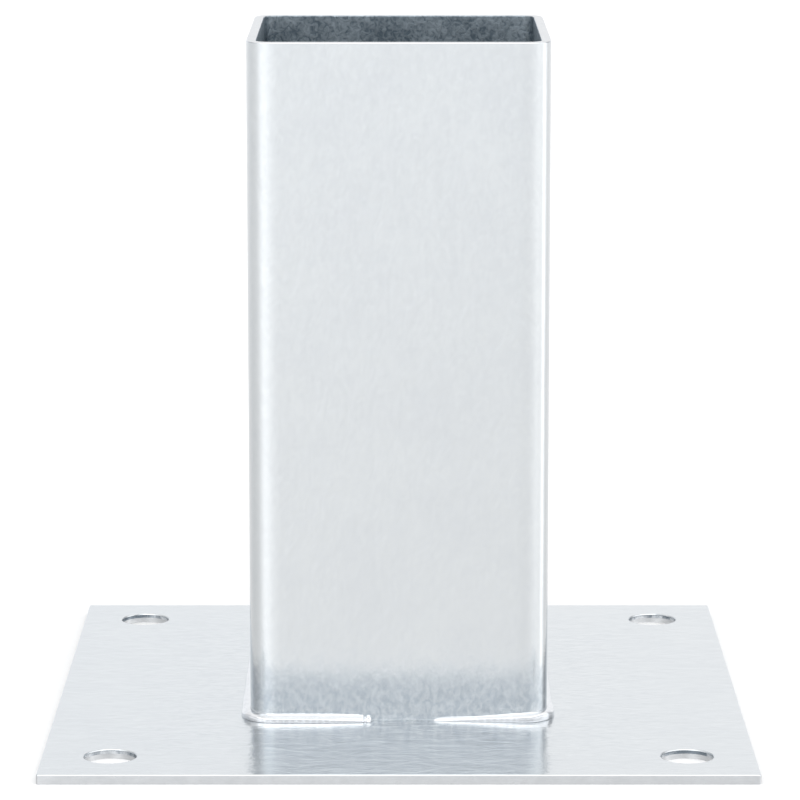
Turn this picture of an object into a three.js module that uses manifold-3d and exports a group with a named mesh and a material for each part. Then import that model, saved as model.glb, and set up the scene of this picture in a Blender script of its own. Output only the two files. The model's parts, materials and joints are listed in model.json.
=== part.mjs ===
// Bolt-down post base: a square steel sleeve, open at the top, welded to the middle of a square plate
// with a bolt hole in each corner.
//
// Millimetres, +Z up along the sleeve. The origin is the middle of the plate's underside, and -Y is the
// front. Left and right are as seen from the front.

import * as THREE from "three";
import { mergeVertices } from "three/addons/utils/BufferGeometryUtils.js";
import Module from "manifold-3d";

const wasm = await Module();
wasm.setup();

// ---- Driving dimensions ----

const plateSide = 150;
const plateThickness = 2.1; // 2 mm sheet with its zinc

const boltSpacing = 121.2; // between hole centres, both ways
const boltHoleRadius = 5.5; // a 10 mm anchor bolt with clearance

const postWidth = 60; // the square post that the sleeve is made for
const postClearance = 0.5;
const sleeveWall = 2.1;
const sleeveHeight = 147.2; // above the plate
const sleeveInnerRadius = 3;

// Each fillet weld runs round one half of the sleeve's foot. Its width is its leg on the plate and its
// height is its leg on the sleeve. It starts and stops at gapEnd, measured from the middle of the front
// and of the rear, with its section shrunk to endScale.
const leftBead = { width: 2, height: 1.6, gapEnd: 5.7, endScale: 0.7 };
const rightBead = { width: 1.4, height: 1.5, gapEnd: 7.5, endScale: 0.35 };
const beadTaper = 5; // length over which a bead shrinks at each end
const footingWidth = 3; // strip of plate round the sleeve that the beads lie on

const cornerSteps = 8;
const holeSteps = 40;
const beadSteps = 4; // across a bead's rounded face

// ---- Dimensions that follow ----

const sleeveInner = postWidth + postClearance;
const sleeveOuter = sleeveInner + 2 * sleeveWall;
const sleeveOuterRadius = sleeveInnerRadius + sleeveWall;
const footingSide = sleeveOuter + 2 * footingWidth;
const quarterTurn = Math.PI / 2;

// ---- Outlines ----

// The four corner arcs of a rounded square, anticlockwise from the right-hand front corner.
function cornerArcs(side, radius) {
  const offset = side / 2 - radius;
  const corners = [[1, -1], [1, 1], [-1, 1], [-1, -1]];
  return corners.map(([x, y], i) => {
    const start = (i - 1) * quarterTurn;
    return new THREE.EllipseCurve(x * offset, y * offset, radius, radius, start, start + quarterTurn);
  });
}

function roundedSquare(side, radius) {
  return cornerArcs(side, radius).flatMap((arc) => arc.getPoints(cornerSteps));
}

function square(side) {
  const half = side / 2;
  const corners = [[-half, -half], [half, -half], [half, half], [-half, half]];
  return corners.map(([x, y]) => new THREE.Vector2(x, y));
}

function circle(centre, radius) {
  const ring = new THREE.EllipseCurve(centre.x, centre.y, radius, radius, 0, 2 * Math.PI);
  return ring.getPoints(holeSteps).slice(0, -1); // the last point repeats the first
}

// ---- Solids ----

function extrude(outline, holes, height) {
  const shape = new THREE.Shape(outline);
  shape.holes = holes.map((points) => new THREE.Path(points));
  return new THREE.ExtrudeGeometry(shape, { depth: height, bevelEnabled: false });
}

function solidFrom(geometry) {
  geometry.deleteAttribute("normal");
  geometry.deleteAttribute("uv");
  const merged = mergeVertices(geometry);
  const vertProperties = new Float32Array(merged.attributes.position.array);
  const triVerts = new Uint32Array(merged.index.array);
  return new wasm.Manifold(new wasm.Mesh({ numProp: 3, vertProperties, triVerts }));
}

function geometryFrom(positions, triangles) {
  const geometry = new THREE.BufferGeometry();
  geometry.setAttribute("position", new THREE.BufferAttribute(new Float32Array(positions), 3));
  geometry.setIndex(new THREE.BufferAttribute(new Uint32Array(triangles), 1));
  geometry.computeVertexNormals();
  return geometry;
}

// The plate is joined from three pieces, one inside the other: the socket's floor, the footing under the
// sleeve and its beads, and the field around them. So the flat faces that a post's end and the bolts'
// washers sit on stop where the sleeve and its beads begin.
function plateGeometry() {
  const floorEdge = roundedSquare(sleeveInner, sleeveInnerRadius);
  const footingEdge = roundedSquare(footingSide, sleeveOuterRadius + footingWidth);
  const boltHoles = square(boltSpacing).map((centre) => circle(centre, boltHoleRadius));

  const floor = solidFrom(extrude(floorEdge, [], plateThickness));
  const footing = solidFrom(extrude(footingEdge, [floorEdge], plateThickness));
  const field = solidFrom(extrude(square(plateSide), [footingEdge, ...boltHoles], plateThickness));
  const plate = floor.add(footing).add(field).getMesh();
  return geometryFrom(plate.vertProperties, plate.triVerts);
}

function sleeveGeometry() {
  const outside = roundedSquare(sleeveOuter, sleeveOuterRadius);
  const inside = roundedSquare(sleeveInner, sleeveInnerRadius);
  return extrude(outside, [inside], sleeveHeight);
}

// The stations of one bead, anticlockwise round the sleeve's foot: each has a place on the sleeve's outside
// face, the direction out from that face, and the scale of the section there. Side is 1 on the right and
// -1 on the left.
function beadStations(bead, side) {
  const face = side * sleeveOuter / 2;
  const arcs = cornerArcs(sleeveOuter, sleeveOuterRadius);
  const [firstArc, secondArc] = side > 0 ? [arcs[0], arcs[1]] : [arcs[2], arcs[3]];

  const straight = (x, y, scale) => ({
    place: new THREE.Vector2(x, y),
    outward: new THREE.Vector2(0, Math.sign(y)),
    scale,
  });
  const round = (arc) => arc.getPoints(cornerSteps).map((place) => ({
    place,
    outward: place.clone().sub(new THREE.Vector2(arc.aX, arc.aY)).divideScalar(sleeveOuterRadius),
    scale: 1,
  }));

  const end = side * bead.gapEnd;
  const fullSize = side * (bead.gapEnd + beadTaper);
  return [
    straight(end, -face, bead.endScale),
    straight(fullSize, -face, 1),
    ...round(firstArc),
    ...round(secondArc),
    straight(fullSize, face, 1),
    straight(end, face, bead.endScale),
  ];
}

// A bead's section is a quarter of an ellipse, with its corner in the joint between sleeve and plate.
function beadGeometry(bead, side) {
  const stations = beadStations(bead, side);
  const ringSize = beadSteps + 2;
  const positions = [];
  for (const { place, outward, scale } of stations) {
    positions.push(place.x, place.y, 0);
    for (let i = 0; i <= beadSteps; i += 1) {
      const angle = quarterTurn * i / beadSteps;
      const out = i === beadSteps ? 0 : scale * bead.width * Math.cos(angle);
      const up = scale * bead.height * Math.sin(angle);
      positions.push(place.x + out * outward.x, place.y + out * outward.y, up);
    }
  }

  const triangles = [];
  for (let k = 0; k < stations.length - 1; k += 1) {
    for (let i = 0; i < ringSize; i += 1) {
      const a = k * ringSize + i;
      const b = k * ringSize + (i + 1) % ringSize;
      triangles.push(a, a + ringSize, b + ringSize);
      triangles.push(a, b + ringSize, b);
    }
  }
  const last = (stations.length - 1) * ringSize;
  for (let i = 1; i < ringSize - 1; i += 1) {
    triangles.push(0, i, i + 1);
    triangles.push(last, last + i + 1, last + i);
  }
  return geometryFrom(positions, triangles);
}

// ---- Assembly ----

function steel(name, geometry, colour, roughness) {
  const material = new THREE.MeshStandardMaterial({ color: colour, metalness: 1, roughness });
  const mesh = new THREE.Mesh(geometry, material);
  mesh.name = name;
  return mesh;
}

const basePlate = steel("base_plate", plateGeometry(), 0xe2e6e9, 0.38);

const standing = new THREE.Group(); // all that stands on the plate
standing.position.z = plateThickness;
standing.add(
  steel("post_sleeve", sleeveGeometry(), 0xdfe3e6, 0.34),
  steel("weld_bead_left", beadGeometry(leftBead, -1), 0xeef0f2, 0.22),
  steel("weld_bead_right", beadGeometry(rightBead, 1), 0xeef0f2, 0.22),
);

const postBase = new THREE.Group();
postBase.add(basePlate, standing);

export default postBase;
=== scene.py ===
"""The looks of a bolt-down post base: a bright galvanised sleeve welded to a plate with four bolt holes.

Metres, +Z up, -Y is the front. The outer sizes and the places of the bolt holes are read from the frame.
The sleeve's wall and the radius of the bolt holes repeat the CAD model's. The rest are the small sizes that
only the finished surface has, such as rounded edges, ripples and the section of a weld.
"""

import json
import math

import bmesh
import bpy
from mathutils import Matrix, Vector, noise


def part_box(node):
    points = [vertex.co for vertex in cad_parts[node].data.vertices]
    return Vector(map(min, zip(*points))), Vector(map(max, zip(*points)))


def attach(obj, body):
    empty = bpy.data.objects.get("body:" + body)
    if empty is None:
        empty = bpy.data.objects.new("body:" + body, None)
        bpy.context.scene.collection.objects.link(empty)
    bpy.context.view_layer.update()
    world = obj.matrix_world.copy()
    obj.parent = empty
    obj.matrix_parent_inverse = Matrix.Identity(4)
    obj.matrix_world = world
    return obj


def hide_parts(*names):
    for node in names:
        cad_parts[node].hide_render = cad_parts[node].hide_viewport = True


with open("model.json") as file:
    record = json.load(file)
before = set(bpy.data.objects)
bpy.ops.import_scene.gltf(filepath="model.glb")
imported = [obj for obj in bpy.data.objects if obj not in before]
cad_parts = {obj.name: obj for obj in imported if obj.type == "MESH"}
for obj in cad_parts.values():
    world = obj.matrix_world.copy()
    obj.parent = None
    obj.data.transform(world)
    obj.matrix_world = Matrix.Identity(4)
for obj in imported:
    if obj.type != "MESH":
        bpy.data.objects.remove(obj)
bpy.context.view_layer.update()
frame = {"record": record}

MM = 0.001

# ---- Sizes ----

SLEEVE_WALL = 2.1 * MM  # as in the CAD model
CORNER_SPAN = 7.0 * MM  # how far a corner's bend reaches along each side
CORNER_EASE = 0.75  # 0 makes the bend a plain arc, 1 lets its curvature start and end at nothing
BOLT_HOLE_RADIUS = 5.5 * MM  # as in the CAD model

PLATE_CORNER = 0.5 * MM
PLATE_EDGE = 0.3 * MM  # rounding of the plate's sheared edges
PLATE_BURR = 0.1 * MM  # rounding of their lower edges
HOLE_ROLL = 0.35 * MM  # the punch draws the top edge of a hole down
HOLE_SHEARED = 0.4  # part of a hole's wall that the punch cuts cleanly, before it breaks through
RIM_EDGE = 0.28 * MM
FOOT_EDGE = 0.15 * MM
EDGE_HOLD = 0.12 * MM  # a ring this far beyond a rounded edge keeps the shading beside it flat
WAVE = 0.014 * MM  # how far the sleeve's rolled walls stray from flat
WAVE_SCALE = 28  # of the noise that shapes those waves, per metre

plate_low, plate_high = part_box("base_plate")
sleeve_low, sleeve_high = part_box("post_sleeve")
PLATE_TOP = plate_high.z
SLEEVE_HALF = sleeve_high.x


# ---- Outlines and sweeps ----

def bend(span, ease, steps):
    """Points of a right-angle bend as (inwards, along, turn): the span is reached both ways at its end."""
    def heading(t):
        return math.pi / 2 * (t - ease * math.sin(2 * math.pi * t) / (2 * math.pi))

    parts = 16  # finer steps that each step is summed from
    inwards = along = 0.0
    track = [(inwards, along, 0.0)]
    for step in range(steps):
        for part in range(parts):
            turn = heading((step + (part + 0.5) / parts) / steps)
            inwards += math.sin(turn)
            along += math.cos(turn)
        track.append((inwards, along, heading((step + 1) / steps)))
    scale = span / inwards
    return [(i * scale, a * scale, turn) for i, a, turn in track]


def rounded_square(half, span, corner_steps, side_steps, ease=0.0):
    """Points round a rounded square, anticlockwise, each with its outward direction."""
    straight = 2 * (half - span)
    corner = []
    for inwards, along, turn in bend(span, ease, corner_steps):
        place = Vector((half - inwards, half - span + along))
        corner.append((place, Vector((math.cos(turn), math.sin(turn)))))
    points = []
    for quarter in range(4):
        turned = Matrix.Rotation(quarter * math.pi / 2, 2)
        points += [(turned @ place, turned @ out) for place, out in corner]
        start, out = points[-1]
        ahead = Vector((-out.y, out.x))
        for step in range(1, side_steps):
            points.append((start + ahead * (straight * step / side_steps), out))
    return points


def sleeve_outline(corner_steps, side_steps):
    return rounded_square(SLEEVE_HALF, CORNER_SPAN, corner_steps, side_steps, CORNER_EASE)


def circle(centre, radius, steps):
    """Points round a hole, anticlockwise, each with its direction into the hole."""
    points = []
    for step in range(steps):
        angle = 2 * math.pi * step / steps
        away = Vector((math.cos(angle), math.sin(angle)))
        points.append((centre + away * radius, -away))
    return points


def rings(mesh, outline, profile, shift=None):
    """One ring of vertices for each (out, up) of the profile, swept round the outline."""
    made = []
    for out, up in profile:
        ring = []
        for place, outward in outline:
            spot = place + outward * out
            point = Vector((spot.x, spot.y, up))
            if shift:
                point += Vector((outward.x, outward.y, 0)) * shift(point)
            ring.append(mesh.verts.new(point))
        made.append(ring)
    return made


def skin(mesh, made, closed=False, material=None):
    """Quads between neighbouring rings."""
    pairs = list(zip(made, made[1:]))
    if closed:
        pairs.append((made[-1], made[0]))
    for level, (lower, upper) in enumerate(pairs):
        count = len(lower)
        for i in range(count):
            j = (i + 1) % count
            face = mesh.faces.new((lower[i], lower[j], upper[j], upper[i]))
            face.smooth = True
            if material:
                face.material_index = material(level)


def piece_from(mesh, name, node, materials):
    data = bpy.data.meshes.new(name)
    bmesh.ops.recalc_face_normals(mesh, faces=mesh.faces)
    mesh.to_mesh(data)
    mesh.free()
    for material in materials:
        data.materials.append(material)
    piece = bpy.data.objects.new(name, data)
    bpy.context.scene.collection.objects.link(piece)
    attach(piece, "root")
    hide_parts(node)
    return piece


# ---- Node trees ----

class Nodes:
    """A node tree with short ways to add to it. A colour is a tuple, a number a float, the rest sockets."""

    def __init__(self, tree, coordinates):
        self.tree = tree
        self.place = self.add("ShaderNodeTexCoord").outputs[coordinates]

    def add(self, kind, **settings):
        node = self.tree.nodes.new(kind)
        for key, value in settings.items():
            setattr(node, key, value)
        return node

    def feed(self, source, socket):
        if isinstance(source, tuple):
            socket.default_value = (*source, 1)
        elif isinstance(source, (int, float)):
            socket.default_value = source
        else:
            self.tree.links.new(source, socket)

    def noise(self, size, detail=2.0, roughness=0.5, distortion=0.0, stretch=(1, 1, 1)):
        """Noise whose blotches are about that size, in metres, and longer along an axis stretched below 1."""
        mapping = self.add("ShaderNodeMapping")
        mapping.inputs["Scale"].default_value = stretch
        self.feed(self.place, mapping.inputs["Vector"])
        node = self.add("ShaderNodeTexNoise")
        node.inputs["Scale"].default_value = 1 / size
        node.inputs["Detail"].default_value = detail
        node.inputs["Roughness"].default_value = roughness
        node.inputs["Distortion"].default_value = distortion
        self.feed(mapping.outputs["Vector"], node.inputs["Vector"])
        return node.outputs["Fac"]

    def spread(self, value, low, high, from_low=0.3, from_high=0.7, smooth=False):
        """The value's range from_low to from_high, laid over low to high and held there beyond it."""
        node = self.add("ShaderNodeMapRange", interpolation_type="SMOOTHSTEP" if smooth else "LINEAR")
        node.inputs["From Min"].default_value = from_low
        node.inputs["From Max"].default_value = from_high
        node.inputs["To Min"].default_value = low
        node.inputs["To Max"].default_value = high
        self.feed(value, node.inputs["Value"])
        return node.outputs["Result"]

    def calc(self, operation, *values):
        node = self.add("ShaderNodeMath", operation=operation)
        for socket, value in zip(node.inputs, values):
            self.feed(value, socket)
        return node.outputs["Value"]

    def total(self, *values):
        result = values[0]
        for value in values[1:]:
            result = self.calc("ADD", result, value)
        return result

    def times(self, a, b):
        return self.calc("MULTIPLY", a, b)

    def lobe(self, angle, centre, width):
        """1 where the angle is the centre, falling smoothly away on both sides, in degrees."""
        offset = self.calc("DIVIDE", self.calc("SUBTRACT", angle, centre), width)
        return self.calc("EXPONENT", self.times(self.times(offset, offset), -1.0))

    def blend(self, factor, a, b):
        node = self.add("ShaderNodeMix", data_type="RGBA", blend_type="MIX")
        colour_a, colour_b = node.inputs[6], node.inputs[7]
        self.feed(factor, node.inputs["Factor"])
        self.feed(a, colour_a)
        self.feed(b, colour_b)
        return node.outputs[2]

    def bump(self, height, depth, previous=None):
        """Raises the surface by height times depth, in metres."""
        node = self.add("ShaderNodeBump")
        node.inputs["Distance"].default_value = depth
        self.feed(height, node.inputs["Height"])
        if previous:
            self.feed(previous, node.inputs["Normal"])
        return node.outputs["Normal"]


def new_material(name):
    material = bpy.data.materials.new(name)
    material.use_nodes = True
    return material, Nodes(material.node_tree, "Object"), material.node_tree.nodes["Principled BSDF"].inputs


# ---- Materials ----

ZINC_LIGHT = (0.70, 0.725, 0.74)
ZINC_DARK = (0.675, 0.70, 0.72)
# Blotches near the joint of sleeve and plate: mottling with painted reflection (light) and painted shade
# (dark).
ZINC_MOTTLE_AND_SHEEN = (0.76, 0.785, 0.80)
ZINC_MOTTLE_AND_SHADE = (0.56, 0.60, 0.635)
# The inside's colours: patina blotches, darkened as painted shade of the hollow tube.
INSIDE_PATINA_AND_SHADE_DARK = (0.145, 0.185, 0.22)
INSIDE_PATINA_AND_SHADE_LIGHT = (0.50, 0.565, 0.61)
WELD_DARK = (0.76, 0.77, 0.79)
WELD_LIGHT = (0.82, 0.83, 0.845)
# The punched band's dark is painted shade and dark reflection.
PUNCHED_SHADE_DARK = (0.20, 0.235, 0.27)
PUNCHED_LIGHT = (0.66, 0.69, 0.72)
SHEARED_LIGHT = (0.65, 0.665, 0.68)
SHEARED_DARK = (0.59, 0.605, 0.62)
RIM_LIGHT = (0.74, 0.75, 0.76)
RIM_DARK = (0.66, 0.675, 0.69)

# How a pattern is stretched, longer along the axes below 1.
ALONG_TUBE = (1, 1, 0.65)
ALONG_PLATE = (0.5, 1, 1)
ALONG_EDGE = (0.12, 0.12, 1)
THROUGH_HOLE = (1, 1, 0.2)
EVEN = (1, 1, 1)

SLEEVE_GRAIN = 0.013 * MM
PLATE_GRAIN = 0.033 * MM
SCRATCH_DEPTH = 0.009 * MM
CURL_DEPTH = 0.05 * MM
WELD_GRAIN = 0.02 * MM
PUNCH_GRAIN = 0.02 * MM


def zinc(name, grain, streak, joint_shade, joint_axes, joint_reach):
    """Galvanised steel, faintly mottled: streak stretches its pattern, and grain is its depth in metres.

    Near the joint of sleeve and plate it has light and dark blotches of mottling, painted reflection and
    painted shade, as strongly as the given strength says: out along any of the given axes, fully at the
    first given distance and no longer at the second.
    """
    material, n, shader = new_material(name)
    clouds = n.noise(14 * MM, 3, 0.55, 0.4)
    mottle = n.noise(1.5 * MM, 4, 0.6, 0.8, streak)
    shade = n.spread(n.calc("ADD", clouds, mottle), 0, 1, 0.75, 1.25)
    colour = n.blend(shade, ZINC_DARK, ZINC_LIGHT)
    place = n.add("ShaderNodeSeparateXYZ")
    n.feed(n.place, place.inputs[0])
    distances = [n.calc("ABSOLUTE", place.outputs[axis]) for axis in joint_axes]
    distance = distances[0] if len(distances) == 1 else n.calc("MAXIMUM", *distances)
    # Light and dark blotches near the joint: mottling with painted reflection and painted shade.
    blotches = n.spread(n.noise(1.2 * MM, 5, 0.62, 0.5, streak), 1, 0, 0.38, 0.62)
    near_joint = n.spread(distance, joint_shade, 0, *joint_reach, smooth=True)
    colour = n.blend(near_joint, colour, n.blend(blotches, ZINC_MOTTLE_AND_SHEEN, ZINC_MOTTLE_AND_SHADE))
    n.feed(colour, shader["Base Color"])
    n.feed(n.spread(mottle, 0.22, 0.14), shader["Roughness"])
    swell = n.bump(n.noise(22 * MM, 1), grain * 1.8)
    peel = n.bump(n.noise(3.4 * MM, 3, 0.55, 0.5, streak), grain * 4, swell)
    fine = n.bump(n.noise(0.8 * MM, 3, 0.6, 0.3, streak), grain, peel)
    n.feed(fine, shader["Normal"])
    shader["Metallic"].default_value = 1
    return material


def cut_steel(name, light, dark, along):
    """A sheared or sawn edge, with fine scratches; along is how they are stretched."""
    material, n, shader = new_material(name)
    scratches = n.noise(0.35 * MM, 3, 0.7, 0.2, along)
    patches = n.noise(2.4 * MM, 3, 0.6, 0.6)
    shade = n.spread(n.calc("ADD", scratches, patches), 0, 1, 0.75, 1.25)
    n.feed(n.blend(shade, dark, light), shader["Base Color"])
    n.feed(n.spread(scratches, 0.42, 0.26), shader["Roughness"])
    n.feed(n.bump(scratches, SCRATCH_DEPTH), shader["Normal"])
    shader["Metallic"].default_value = 1
    return material


def hollow_zinc(name):
    """The tube's inside: dull blue-grey patina on zinc, with curling light and dark blotches, darkened as
    painted shade.
    """
    material, n, shader = new_material(name)
    curls = n.noise(1.25 * MM, 4, 0.6, 1.1)
    drift = n.noise(9 * MM, 2, 0.5, 0.5)
    shade = n.spread(n.calc("ADD", n.times(curls, 1.4), n.times(drift, 0.6)), 0, 1, 0.78, 1.22)
    n.feed(n.blend(shade, INSIDE_PATINA_AND_SHADE_DARK, INSIDE_PATINA_AND_SHADE_LIGHT), shader["Base Color"])
    n.feed(n.spread(curls, 0.5, 0.34), shader["Roughness"])
    n.feed(n.bump(curls, CURL_DEPTH), shader["Normal"])
    shader["Metallic"].default_value = 1
    return material


def weld_metal(name):
    """Smooth, bright weld metal under zinc."""
    material, n, shader = new_material(name)
    mottle = n.noise(1.1 * MM, 3, 0.55, 0.5)
    n.feed(n.blend(n.spread(mottle, 0, 1), WELD_DARK, WELD_LIGHT), shader["Base Color"])
    n.feed(n.spread(mottle, 0.22, 0.12), shader["Roughness"])
    n.feed(n.bump(mottle, WELD_GRAIN), shader["Normal"])
    shader["Metallic"].default_value = 1
    return material


def punched_steel(name):
    """The cleanly cut band of a punched hole, with dark patches round the hole painted as shade and dark
    reflection.
    """
    material, n, shader = new_material(name)
    patches = n.noise(4.5 * MM, 2, 0.5, 0.3)
    fine = n.noise(0.6 * MM, 2, 0.5, 0.0, THROUGH_HOLE)
    # The dark patches are painted shade and dark reflection.
    shade = n.spread(n.calc("ADD", patches, n.times(fine, 0.25)), 0, 1, 0.53, 0.72)
    n.feed(n.blend(shade, PUNCHED_SHADE_DARK, PUNCHED_LIGHT), shader["Base Color"])
    n.feed(n.spread(fine, 0.34, 0.2), shader["Roughness"])
    n.feed(n.bump(fine, PUNCH_GRAIN), shader["Normal"])
    shader["Metallic"].default_value = 1
    return material


# Strength and reach of the painted shade and reflection near the joint of sleeve and plate.
SLEEVE_JOINT_SHADE = 0.74
PLATE_JOINT_SHADE = 0.25
SLEEVE_JOINT_SHADE_REACH = (PLATE_TOP + 4 * MM, PLATE_TOP + 15 * MM)
PLATE_JOINT_SHADE_REACH = (SLEEVE_HALF + 4 * MM, SLEEVE_HALF + 46 * MM)

sleeve_zinc = zinc("galvanised_sleeve", SLEEVE_GRAIN, ALONG_TUBE, SLEEVE_JOINT_SHADE, (2,), SLEEVE_JOINT_SHADE_REACH)
plate_zinc = zinc("galvanised_plate", PLATE_GRAIN, ALONG_PLATE, PLATE_JOINT_SHADE, (0, 1), PLATE_JOINT_SHADE_REACH)
inside_zinc = hollow_zinc("galvanised_inside")
edge_steel = cut_steel("sheared_edge", SHEARED_LIGHT, SHEARED_DARK, ALONG_EDGE)
rim_steel = cut_steel("sawn_rim", RIM_LIGHT, RIM_DARK, EVEN)
hole_steel = punched_steel("punched_hole")
weld_zinc = weld_metal("galvanised_weld")


# ---- Base plate ----

def bolt_hole_centres():
    """The middles of the bolt holes, from the openings that the record states."""
    boxes = [o["box_m"] for o in frame["record"]["physics"]["openings"] if o["name"].startswith("bolt_hole")]
    return [Vector(((low[0] + high[0]) / 2, (low[1] + high[1]) / 2)) for low, high in boxes]


def flat_face(mesh, loops):
    """Fills the flat face between an outer loop of vertices and the loops of the holes in it."""
    edges = []
    for loop in loops:
        for a, b in zip(loop, loop[1:] + loop[:1]):
            edges.append(mesh.edges.get((a, b)))
    filled = bmesh.ops.triangle_fill(mesh, edges=edges, use_beauty=True)
    for face in filled["geom"]:
        if isinstance(face, bmesh.types.BMFace):
            face.smooth = True


EDGE_STEPS = 5
BURR_STEPS = 3
WALL_STEPS = 5
PLATE_CORNER_STEPS = 4
PLATE_SIDE_STEPS = 40
HOLE_STEPS = 72
FACE_ZINC, SHEARED, PUNCHED = range(3)  # the plate's materials, in their order on the piece


def wall_profile(edge, burr):
    """(out, up) points over a plate's edge, from the top face to the bottom face."""
    points = [(-edge - EDGE_HOLD, PLATE_TOP)]
    for i in range(EDGE_STEPS + 1):
        angle = math.pi / 2 * i / EDGE_STEPS
        points.append((edge * (math.sin(angle) - 1), PLATE_TOP - edge + edge * math.cos(angle)))
    for i in range(1, WALL_STEPS):
        points.append((0, PLATE_TOP - edge - (PLATE_TOP - edge - burr) * i / WALL_STEPS))
    for i in range(BURR_STEPS + 1):
        angle = math.pi / 2 * i / BURR_STEPS
        points.append((burr * (math.cos(angle) - 1), burr * (1 - math.sin(angle))))
    return points + [(-burr - EDGE_HOLD, 0)]


def base_plate():
    wall_start = EDGE_STEPS + 1
    wall_end = wall_start + WALL_STEPS
    sheared_end = wall_start + round(WALL_STEPS * HOLE_SHEARED)

    def edge_material(level):
        return SHEARED if wall_start <= level < wall_end else FACE_ZINC

    def hole_material(level):
        if level < wall_start:
            return FACE_ZINC
        return PUNCHED if level < sheared_end else SHEARED

    mesh = bmesh.new()
    outer = rounded_square(plate_high.x, PLATE_CORNER, PLATE_CORNER_STEPS, PLATE_SIDE_STEPS)
    edge = rings(mesh, outer, wall_profile(PLATE_EDGE, PLATE_BURR))
    skin(mesh, edge, material=edge_material)
    borders = [edge]
    for centre in bolt_hole_centres():
        hole = circle(centre, BOLT_HOLE_RADIUS, HOLE_STEPS)
        wall = rings(mesh, hole, wall_profile(HOLE_ROLL, PLATE_BURR))
        skin(mesh, wall, material=hole_material)
        borders.append(wall)
    flat_face(mesh, [border[0] for border in borders])
    flat_face(mesh, [border[-1] for border in borders])
    return piece_from(mesh, "plate_body", "base_plate", [plate_zinc, edge_steel, hole_steel])


# ---- Sleeve ----

SLEEVE_CORNER_STEPS = 24
SLEEVE_SIDE_STEPS = 30
SLEEVE_HEIGHT_STEPS = 48
FOOT_STEPS = 3
RIM_STEPS = 6
OUTSIDE, INSIDE, RIM = range(3)  # the sleeve's materials, in their order on the piece


def sleeve_wave(point):
    """How far the wall strays from flat at a place, in metres."""
    return WAVE * noise.noise(point * WAVE_SCALE)


def arc(centre_out, centre_up, radius, start, end, steps):
    """(out, up) points of an arc between two angles in degrees, 0 pointing out and 90 up."""
    angles = [math.radians(start + (end - start) * i / steps) for i in range(steps + 1)]
    return [(centre_out + radius * math.cos(a), centre_up + radius * math.sin(a)) for a in angles]


def post_sleeve():
    low, high = sleeve_low.z, sleeve_high.z
    start, end = low + FOOT_EDGE + EDGE_HOLD, high - RIM_EDGE - EDGE_HOLD
    heights = [start + (end - start) * i / SLEEVE_HEIGHT_STEPS for i in range(SLEEVE_HEIGHT_STEPS + 1)]
    foot = arc(-FOOT_EDGE, low + FOOT_EDGE, FOOT_EDGE, -90, 0, FOOT_STEPS)
    rim_out = arc(-RIM_EDGE, high - RIM_EDGE, RIM_EDGE, 0, 90, RIM_STEPS)
    rim_in = arc(RIM_EDGE - SLEEVE_WALL, high - RIM_EDGE, RIM_EDGE, 90, 180, RIM_STEPS)
    foot_in = arc(FOOT_EDGE - SLEEVE_WALL, low + FOOT_EDGE, FOOT_EDGE, 180, 270, FOOT_STEPS)
    outer = foot + [(0, z) for z in heights] + rim_out
    inner = rim_in + [(-SLEEVE_WALL, z) for z in reversed(heights)] + foot_in
    rim_start, rim_end = len(outer) - 1 - RIM_STEPS // 2, len(outer) + RIM_STEPS // 2

    def material(level):
        if level < rim_start:
            return OUTSIDE
        return RIM if level < rim_end else INSIDE

    mesh = bmesh.new()
    outline = sleeve_outline(SLEEVE_CORNER_STEPS, SLEEVE_SIDE_STEPS)
    made = rings(mesh, outline, outer + inner, sleeve_wave)
    skin(mesh, made, closed=True, material=material)
    materials = [sleeve_zinc, inside_zinc, rim_steel]
    return piece_from(mesh, "sleeve_body", "post_sleeve", materials)


# ---- Welds ----

SECTION_BODY_STEPS = 10
SECTION_SHOULDER_STEPS = 5
SECTION_FACE_STEPS = 6
WELD_CORNER_STEPS = 60
WELD_SIDE_STEPS = 500

# How the two beads differ. face_end and face are the height of the steep face at the bead's toe, as a part
# of the bead's height, at its ends and then along it; corner_face is what a corner adds to that. valley is
# how deep the groove beside the sleeve's corners is, swell how much larger the bead is near a corner, and
# tip the shape of its ends.
LEFT_BEAD = {
    "side": -1,
    "face_end": 0.36,
    "face": 0.5,
    "corner_face": 0.22,
    "valley": 0.5,
    "swell": 0.05,
    "tip": "blunt",
}
RIGHT_BEAD = {
    "side": 1,
    "face_end": 0.3,
    "face": 0.6,
    "corner_face": 0.26,
    "valley": 0.1,
    "swell": 0.3,
    "tip": "drawn",
}
FACE_REACH = 13 * MM  # from a bead's end to where its face is at its full height

# Both beads sway and ripple along their length.
SWAY_LENGTH = 7 * MM
SWAY_SIZE = 0.07
SWAY_HEIGHT = 0.05
SWAY_SEED = 7.3
RIPPLE_LENGTH = 1.4 * MM
RIPPLE_SIZE = 0.012
SWELL_PLACE = 21 * MM  # from a bead's end, inside the bend of the sleeve's corner
SWELL_REACH = 8 * MM

# A blunt tip is rounded over END_CAP and has a pit in its body and a notch behind that.
END_CAP = 0.8 * MM
PIT_DEPTH = 0.5 * MM
PIT_RADIUS = 0.38 * MM
PIT_PLACE = 0.8 * MM
NOTCH_PLACE = 1.5 * MM
NOTCH_WIDTH = 0.35 * MM
NOTCH_SIZE = 0.3
BLUNT_SIZE = 0.84
BLUNT_REACH = 9 * MM

# A drawn tip starts thin, thickens quickly and then slowly up to the corner.
DRAWN_SIZE = 0.12
DRAWN_QUICK = 0.5
DRAWN_QUICK_LENGTH = 1.1 * MM
DRAWN_SLOW = 0.38
DRAWN_SLOW_REACH = (5 * MM, 23 * MM)


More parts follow.
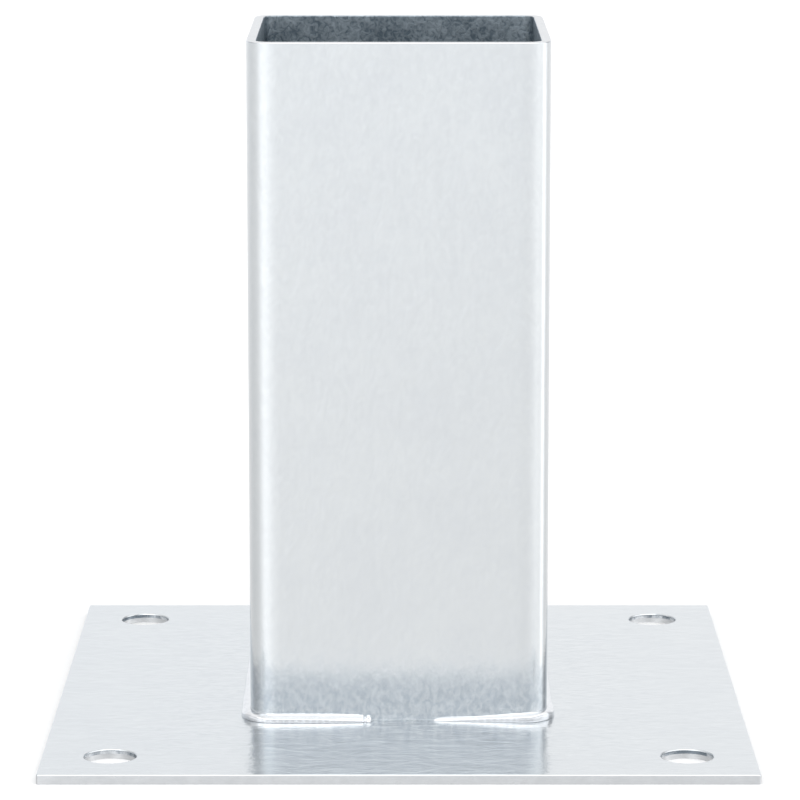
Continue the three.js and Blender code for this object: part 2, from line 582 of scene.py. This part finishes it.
def weld_path(start, side):
    """Places along a bead with outward directions, from the front gap round both corners to the rear gap."""
    margin = 0.1 * MM  # keeps the angle's origin just short of the first and last places
    outline = sleeve_outline(WELD_CORNER_STEPS, WELD_SIDE_STEPS)
    half = [(place, out) for place, out in outline if place.x * side >= start]
    half.sort(key=lambda item: math.atan2(item[0].y, item[0].x * side - start + margin))
    return half


def bulged(a, b, bulge, steps):
    """Points of a line from a to b that swells to one side by a part of its length."""
    across = Vector((a.y - b.y, b.x - a.x)) * bulge
    return [a.lerp(b, i / steps) + across * math.sin(math.pi * i / steps) for i in range(steps + 1)]


def weld_section(width, height, face_height, valley):
    """(out, up) points down a bead: from the sleeve, over its body and shoulder, then down a steep face."""
    top = Vector((0, height * (1 - valley)))
    crest = Vector((width * 0.3 * valley, height * (1 - 0.25 * valley)))
    shoulder = Vector((width * 0.86, height * face_height * 1.08))
    face = Vector((width * 0.95, height * face_height * 0.86))
    toe = Vector((width, height * 0.06))
    body = bulged(crest, shoulder, 0.07, SECTION_BODY_STEPS)
    turn = bulged(shoulder, face, 0.16, SECTION_SHOULDER_STEPS)
    steep = bulged(face, toe, 0.03, SECTION_FACE_STEPS)
    return [top] + body + turn[1:] + steep[1:] + [Vector((width * 0.93, 0))]


def smooth_step(value, low, high):
    t = min(1.0, max(0.0, (value - low) / (high - low)))
    return t * t * (3 - 2 * t)


def bead_size(end, tip):
    """How much of its full section a bead has at a distance from its end."""
    if tip == "drawn":
        quick = DRAWN_QUICK * (1 - math.exp(-end / DRAWN_QUICK_LENGTH))
        return DRAWN_SIZE + quick + DRAWN_SLOW * smooth_step(end, *DRAWN_SLOW_REACH)
    first = 0.03 * MM  # keeps the very first section from shrinking to a point
    cap = math.sqrt(max(0.0, 1 - (1 - min(1.0, (end + first) / END_CAP)) ** 2))
    notch = NOTCH_SIZE * math.exp(-((end - NOTCH_PLACE) / NOTCH_WIDTH) ** 2)
    return cap * (BLUNT_SIZE + (1 - BLUNT_SIZE) * smooth_step(end, 0, BLUNT_REACH) - notch)


def weld_ring(mesh, place, outward, s, end, width, height, bead):
    """One section of a bead, closed under it, at a distance s along it and end from its nearer end."""
    sway = noise.noise(Vector((s / SWAY_LENGTH, bead["side"] * SWAY_SEED, 0)))
    ripple = RIPPLE_SIZE * math.sin(s * 2 * math.pi / RIPPLE_LENGTH + 2 * sway)
    swell = bead["swell"] * math.exp(-((end - SWELL_PLACE) / SWELL_REACH) ** 2)
    size = bead_size(end, bead["tip"]) * (1 + SWAY_SIZE * sway + ripple + swell)
    corner = (2 * outward.x * outward.y) ** 2
    wide = width * size
    high = height * size * (1 - SWAY_HEIGHT * sway)
    grown = (bead["face"] - bead["face_end"]) * smooth_step(end, 0, FACE_REACH)
    face = bead["face_end"] + grown + bead["corner_face"] * corner
    ring = [mesh.verts.new((place.x, place.y, PLATE_TOP))]
    passed = 0.0
    before = None
    for point in weld_section(wide, high, face, bead["valley"] * corner):
        if before:
            passed += (point - before).length
        before = point.copy()
        if bead["tip"] == "blunt":
            away = math.hypot(end - PIT_PLACE, passed - high * 1.05) / PIT_RADIUS
            point = point - point.normalized() * PIT_DEPTH * math.exp(-away * away)
        spot = place + outward * point.x
        ring.append(mesh.verts.new((spot.x, spot.y, PLATE_TOP + max(0.0, point.y))))
    return ring


def weld_bead(name, node, bead):
    low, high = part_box(node)
    start = min(abs(low.x), abs(high.x))
    width = max(abs(low.x), abs(high.x)) - SLEEVE_HALF
    path = weld_path(start, bead["side"])
    run = [0.0]
    for (a, _), (b, _) in zip(path, path[1:]):
        run.append(run[-1] + (b - a).length)
    mesh = bmesh.new()
    made = []
    for (place, outward), s in zip(path, run):
        end = min(s, run[-1] - s)
        made.append(weld_ring(mesh, place, outward, s, end, width, high.z - low.z, bead))
    skin(mesh, made)
    mesh.faces.new(made[0])
    mesh.faces.new(made[-1][::-1])
    return piece_from(mesh, name, node, [weld_zinc])


base_plate()
post_sleeve()
weld_bead("bead_left", "weld_bead_left", LEFT_BEAD)
weld_bead("bead_right", "weld_bead_right", RIGHT_BEAD)


# ---- Studio ----

FLOOR_SIZE = 6.0
CAMERA_LENS = 183.9
CAMERA_DISTANCE = 0.8905
CAMERA_HEIGHT = 0.232  # above the plate's top
CAMERA_PITCH = 10.64
CAMERA_SIDE = 0.28 * MM


def studio_floor():
    """A plain pale floor. The metal mirrors the studio's walls and ceiling, not the floor itself."""
    bpy.ops.mesh.primitive_plane_add(size=FLOOR_SIZE, location=(0, 0, 0))
    floor = bpy.context.object
    floor.name = "studio_floor"
    material, _, shader = new_material("studio_floor")
    shader["Base Color"].default_value = (0.86, 0.86, 0.86, 1)
    shader["Roughness"].default_value = 0.8
    shader["Specular IOR Level"].default_value = 0
    floor.data.materials.append(material)
    floor.visible_glossy = False


# The studio's light. An azimuth of 0 is the front and 90 the right, a height is above level, both in degrees.
# A lobe is (centre, width). A strength below 0 is a dark panel.
FRONT = (0.0, 65.0)
LEFT = (-104.0, 41.0)
REAR_LEFT = (-130.0, 52.0)
REAR_RIGHT = (135.0, 42.0)
REAR_RIGHT_PART = 0.8

WALL_STRENGTH = 1.06
WALL_TOP = (35, 60)  # the wall lights fade out between these heights

CEILING_STRENGTH = 0.27
CEILING_START = (24, 50)
CEILING_REAR_RISE = 55.0  # how much higher the ceiling starts towards the rear corners

SOFT_BOX_STRENGTH = 1.2
SOFT_BOX_HEIGHT = (46.0, 20.0)

LOW_WALL_STRENGTHS = (0.08, -0.155)  # added at level and at LOW_WALL_DEPTH
LOW_WALL_DEPTH = -14
LOW_WALL_FADE = 4  # height at which they are gone again

STRIP = (94.0, 13.0)
STRIP_STRENGTH = 0.62
STRIP_PART_ABOVE = 0.6
STRIP_FADE = (2, 12)

WALL_LIGHTS = [
    {"azimuth": (-30.0, 24.0), "strength": 0.46},
    {"azimuth": (76.0, 12.0), "height": (15.0, 9.0), "strength": 0.2},
    {"azimuth": (56.0, 34.0), "strength": 0.27},
    {"azimuth": LEFT, "strength": -0.10},
    {"azimuth": LEFT, "height": (22.0, 14.0), "strength": -0.48},
    {"azimuth": (130.0, 22.0), "height": (22.0, 16.0), "strength": -0.7},
    {"azimuth": FRONT, "height": (10.5, 6.5), "strength": -0.71},
]

WHITE = (1.0, 1.0, 1.0)
COOL_WHITE = (0.96, 1.0, 1.05)
COOL_HEIGHT = (12.0, 14.0)


def wall_light(n, azimuth, height, light):
    """One light or dark panel on the studio's walls, at every height unless it names one."""
    strength = light["strength"]
    if "height" in light:
        strength = n.times(n.lobe(height, *light["height"]), strength)
    return n.times(n.lobe(azimuth, *light["azimuth"]), strength)


def studio_world():
    """Soft light from all round, with a brighter ceiling, a soft box in front and a strip on the right."""
    world = bpy.data.worlds.new("studio")
    bpy.context.scene.world = world
    world.use_nodes = True
    n = Nodes(world.node_tree, "Generated")
    parts = n.add("ShaderNodeSeparateXYZ")
    n.feed(n.place, parts.inputs[0])
    x, y, z = parts.outputs
    azimuth = n.times(n.calc("ARCTAN2", x, n.times(y, -1.0)), 180 / math.pi)
    height = n.times(n.calc("ARCSINE", z), 180 / math.pi)

    front = n.lobe(azimuth, *FRONT)
    sides = n.total(n.lobe(azimuth, *REAR_LEFT), n.times(n.lobe(azimuth, *REAR_RIGHT), REAR_RIGHT_PART))
    rise = n.calc("SUBTRACT", height, n.times(sides, CEILING_REAR_RISE))
    ceiling = n.times(n.spread(rise, 0, 1, *CEILING_START, smooth=True), CEILING_STRENGTH)
    soft_box = n.times(n.times(front, n.lobe(height, *SOFT_BOX_HEIGHT)), SOFT_BOX_STRENGTH)
    low_wall = n.spread(height, *LOW_WALL_STRENGTHS, 0, LOW_WALL_DEPTH)
    below = n.times(low_wall, n.spread(height, 1, 0, 0, LOW_WALL_FADE))
    walls_only = n.spread(height, 1, 0, *WALL_TOP, smooth=True)
    strip_height = n.spread(height, 1, STRIP_PART_ABOVE, *STRIP_FADE, smooth=True)
    strip = n.times(n.lobe(azimuth, *STRIP), n.times(strip_height, STRIP_STRENGTH))
    lights = n.total(strip, *[wall_light(n, azimuth, height, light) for light in WALL_LIGHTS])
    strength = n.total(WALL_STRENGTH, ceiling, soft_box, below, n.times(lights, walls_only))
    cool = n.times(n.total(front, sides), n.lobe(height, *COOL_HEIGHT))
    background = world.node_tree.nodes["Background"].inputs
    n.feed(n.blend(cool, WHITE, COOL_WHITE), background["Color"])
    n.feed(strength, background["Strength"])


def camera():
    data = bpy.data.cameras.new("camera")
    data.lens = CAMERA_LENS
    data.clip_start = 0.05
    data.clip_end = 50
    eye = bpy.data.objects.new("camera", data)
    eye.location = (CAMERA_SIDE, -CAMERA_DISTANCE, PLATE_TOP + CAMERA_HEIGHT)
    eye.rotation_euler = (math.radians(90 - CAMERA_PITCH), 0, 0)
    bpy.context.scene.collection.objects.link(eye)
    bpy.context.scene.camera = eye


studio_floor()
studio_world()
camera()
bpy.context.scene.view_settings.view_transform = "Standard"
